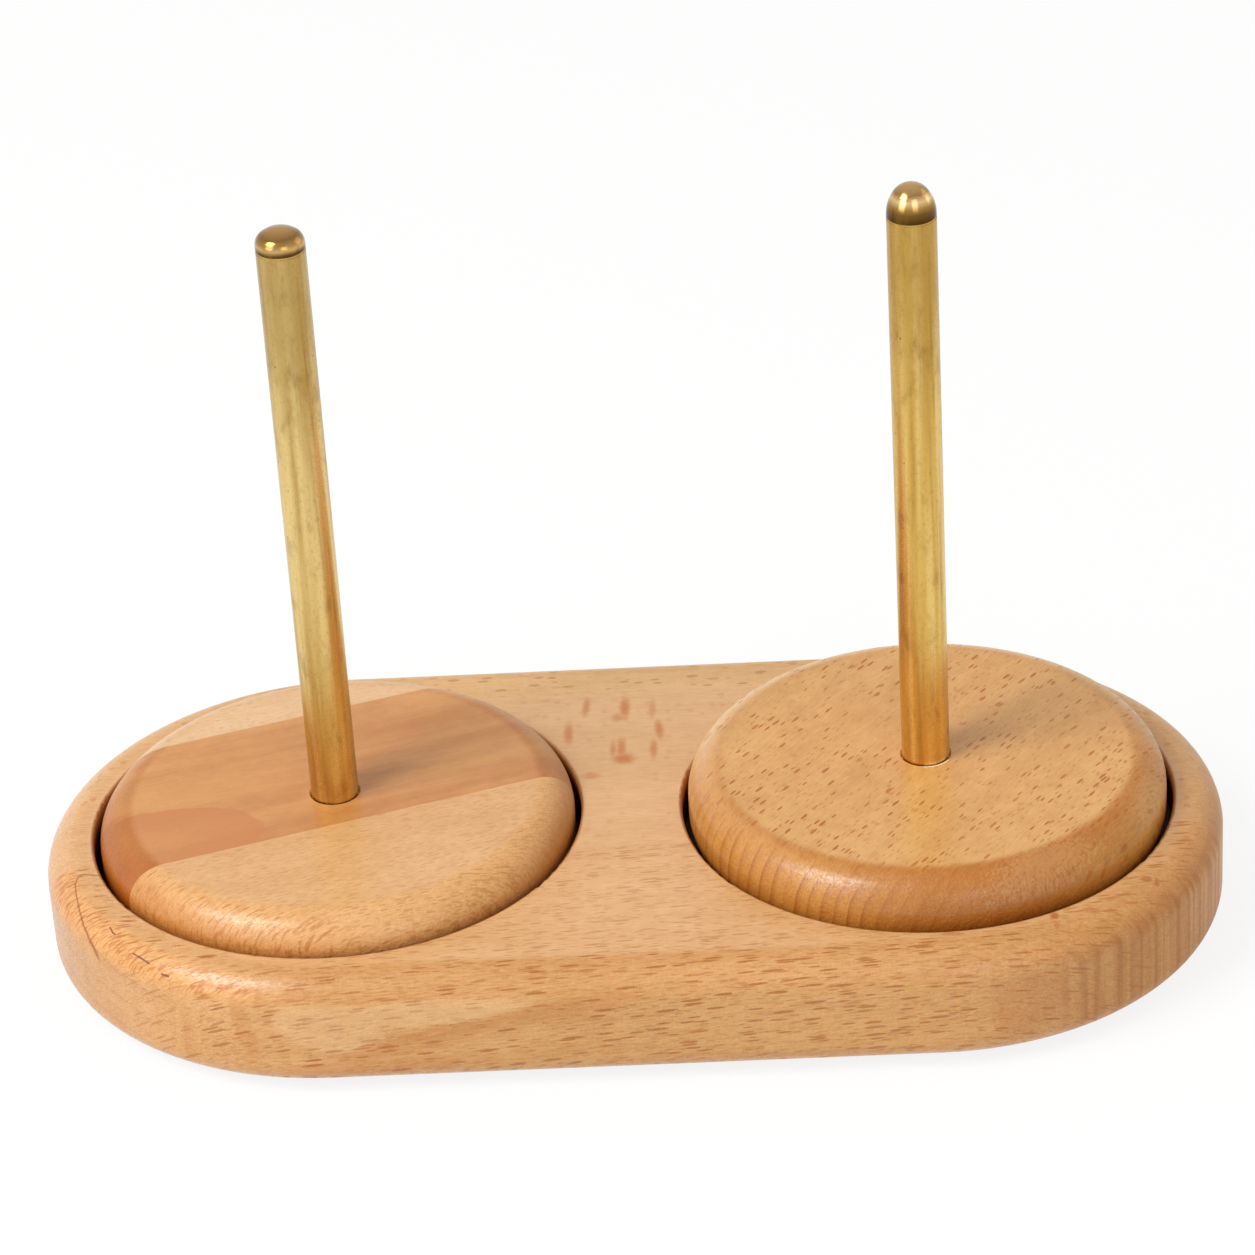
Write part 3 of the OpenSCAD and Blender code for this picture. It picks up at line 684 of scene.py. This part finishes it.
steelMottle = {"scale": 0.6, "shade": "#8c9094", "strength": 0.5, "spread": 0.2, "bump": 0.2,
               "depth": 0.05}
rubber = {"dark": "#1c1c1e", "light": "#333336", "scale": 2.5, "roughness": 0.75, "spread": 0.15,
          "bump": 0.4, "depth": 0.08}


def makeSteel(name, steel):
    shader = newShader(name)
    mottle = shader.noise(shader.place(), steelMottle["scale"], 4.0, 0.6)
    colour = shader.mix(mottle * steelMottle["strength"], tint(steel["colour"]), tint(steelMottle["shade"]))
    rough = steel["roughness"] + (mottle - 0.5) * steelMottle["spread"]
    bump = shader.node("Bump", {}, {"Strength": steelMottle["bump"], "Distance": mm,
                                    "Height": mottle * steelMottle["depth"]})
    return shader.finish({"Base Color": colour, "Metallic": 1.0, "Roughness": rough}, bump)


def makeRubber(name):
    shader = newShader(name)
    grit = shader.noise(shader.place(), rubber["scale"], 4.0, 0.7)
    colour = shader.mix(grit, tint(rubber["dark"]), tint(rubber["light"]))
    rough = rubber["roughness"] + grit * rubber["spread"]
    bump = shader.node("Bump", {}, {"Strength": rubber["bump"], "Distance": mm,
                                    "Height": grit * rubber["depth"]})
    return shader.finish({"Base Color": colour, "Roughness": rough}, bump)


for side, axis, discTop in (("left", leftAxis, leftDiscTop), ("right", rightAxis, rightDiscTop)):
    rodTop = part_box(side + "_rod")[1].z / mm
    dress(side + "_rod", makeBrass(side + "_brass", rods[side], axis, discTop, rodTop))

steelOf = {"bearing_outer_ring": "bearing_steel", "bearing_inner_ring": "bearing_steel",
           "bearing_balls": "polished_steel", "cage_upper_half": "cage_steel",
           "cage_lower_half": "cage_steel", "cage_rivets": "cage_steel",
           "bearing_shields": "sheet_steel", "shim_washer": "zinc_steel",
           "retaining_washer": "zinc_steel", "retaining_screw": "zinc_steel"}
steelMade = {name: makeSteel(name, steel) for name, steel in steels.items()}
for part, steel in steelOf.items():
    for side in ("left_", "right_"):
        dress(side + part, steelMade[steel])
dress("rubber_feet", makeRubber("rubber"))
print("metal and rubber done")


# Studio: a pale floor, soft lamps and the photograph's viewpoint

studio = {"floor": "#f4f3f1", "floorSize": 6000, "floorGlow": 0.85, "ambient": 0.54}
lamps = {"key": {"place": (-980, -560, 1400), "size": 800, "watts": 21.6},
         "fill": {"place": (500, -1300, 700), "size": 700, "watts": 1.9},
         "low": {"place": (-1150, -1000, 750), "size": 900, "watts": 5.6},
         "rear": {"place": (1300, 500, 700), "size": 900, "watts": 2.0}}
view = {"elevation": 30.40, "azimuth": 2.13, "roll": -3.60, "distance": 1123.5,
        "target": (-2.99, 119.98, 0), "lens": 137.32, "sensor": 36}
white = (1, 1, 1, 1)


def makeFloor():
    bpy.ops.mesh.primitive_plane_add(size=studio["floorSize"] * mm)
    floor = bpy.context.object
    floor.name = "floor"
    shader = newShader("pale_floor")
    seen = shader.seenOrMirrored()
    matt = shader.node("BsdfDiffuse", {}, {"Color": tint(studio["floor"])})
    glow = shader.node("Emission", {}, {"Color": white, "Strength": 1.0})
    surface = shader.node("MixShader", {}, {0: seen * studio["floorGlow"], 1: matt, 2: glow})
    shader.node("OutputMaterial", {}, {"Surface": surface})
    floor.data.materials.append(shader.owner)


def makeWorld():                               # white to look at, dimmer as a light
    world = bpy.data.worlds.new("studio")
    bpy.context.scene.world = world
    shader = Shader(world)
    strength = studio["ambient"] + shader.seenOrMirrored() * (1 - studio["ambient"])
    sky = shader.node("Background", {}, {"Color": white, "Strength": strength})
    shader.node("OutputWorld", {}, {"Surface": sky})


def makeLamp(name, lamp):
    light = bpy.data.lights.new(name, "AREA")
    light.shape = "SQUARE"
    light.size = lamp["size"] * mm
    light.energy = lamp["watts"]
    holder = bpy.data.objects.new(name, light)
    bpy.context.scene.collection.objects.link(holder)
    holder.location = Vector(lamp["place"]) * mm
    holder.rotation_euler = (-holder.location).to_track_quat("-Z", "Y").to_euler()


def makeCamera():
    tilt, swing, roll = (math.radians(view[angle]) for angle in ("elevation", "azimuth", "roll"))
    back = Vector((math.sin(swing) * math.cos(tilt), -math.cos(swing) * math.cos(tilt), math.sin(tilt)))
    level = Vector((math.cos(swing), math.sin(swing), 0))
    upright = back.cross(level)
    right = level * math.cos(roll) + upright * math.sin(roll)
    up = upright * math.cos(roll) - level * math.sin(roll)
    camera = bpy.data.objects.new("camera", bpy.data.cameras.new("camera"))
    bpy.context.scene.collection.objects.link(camera)
    camera.data.lens = view["lens"]
    camera.data.sensor_width = view["sensor"]
    turn = Matrix((right, up, back)).transposed().to_4x4()
    place = (Vector(view["target"]) + back * view["distance"]) * mm
    camera.matrix_world = Matrix.Translation(place) @ turn
    bpy.context.scene.camera = camera


makeFloor()
makeWorld()
for name, lamp in lamps.items():
    makeLamp(name, lamp)
makeCamera()
bpy.context.scene.view_settings.view_transform = "Standard"
print("studio done")
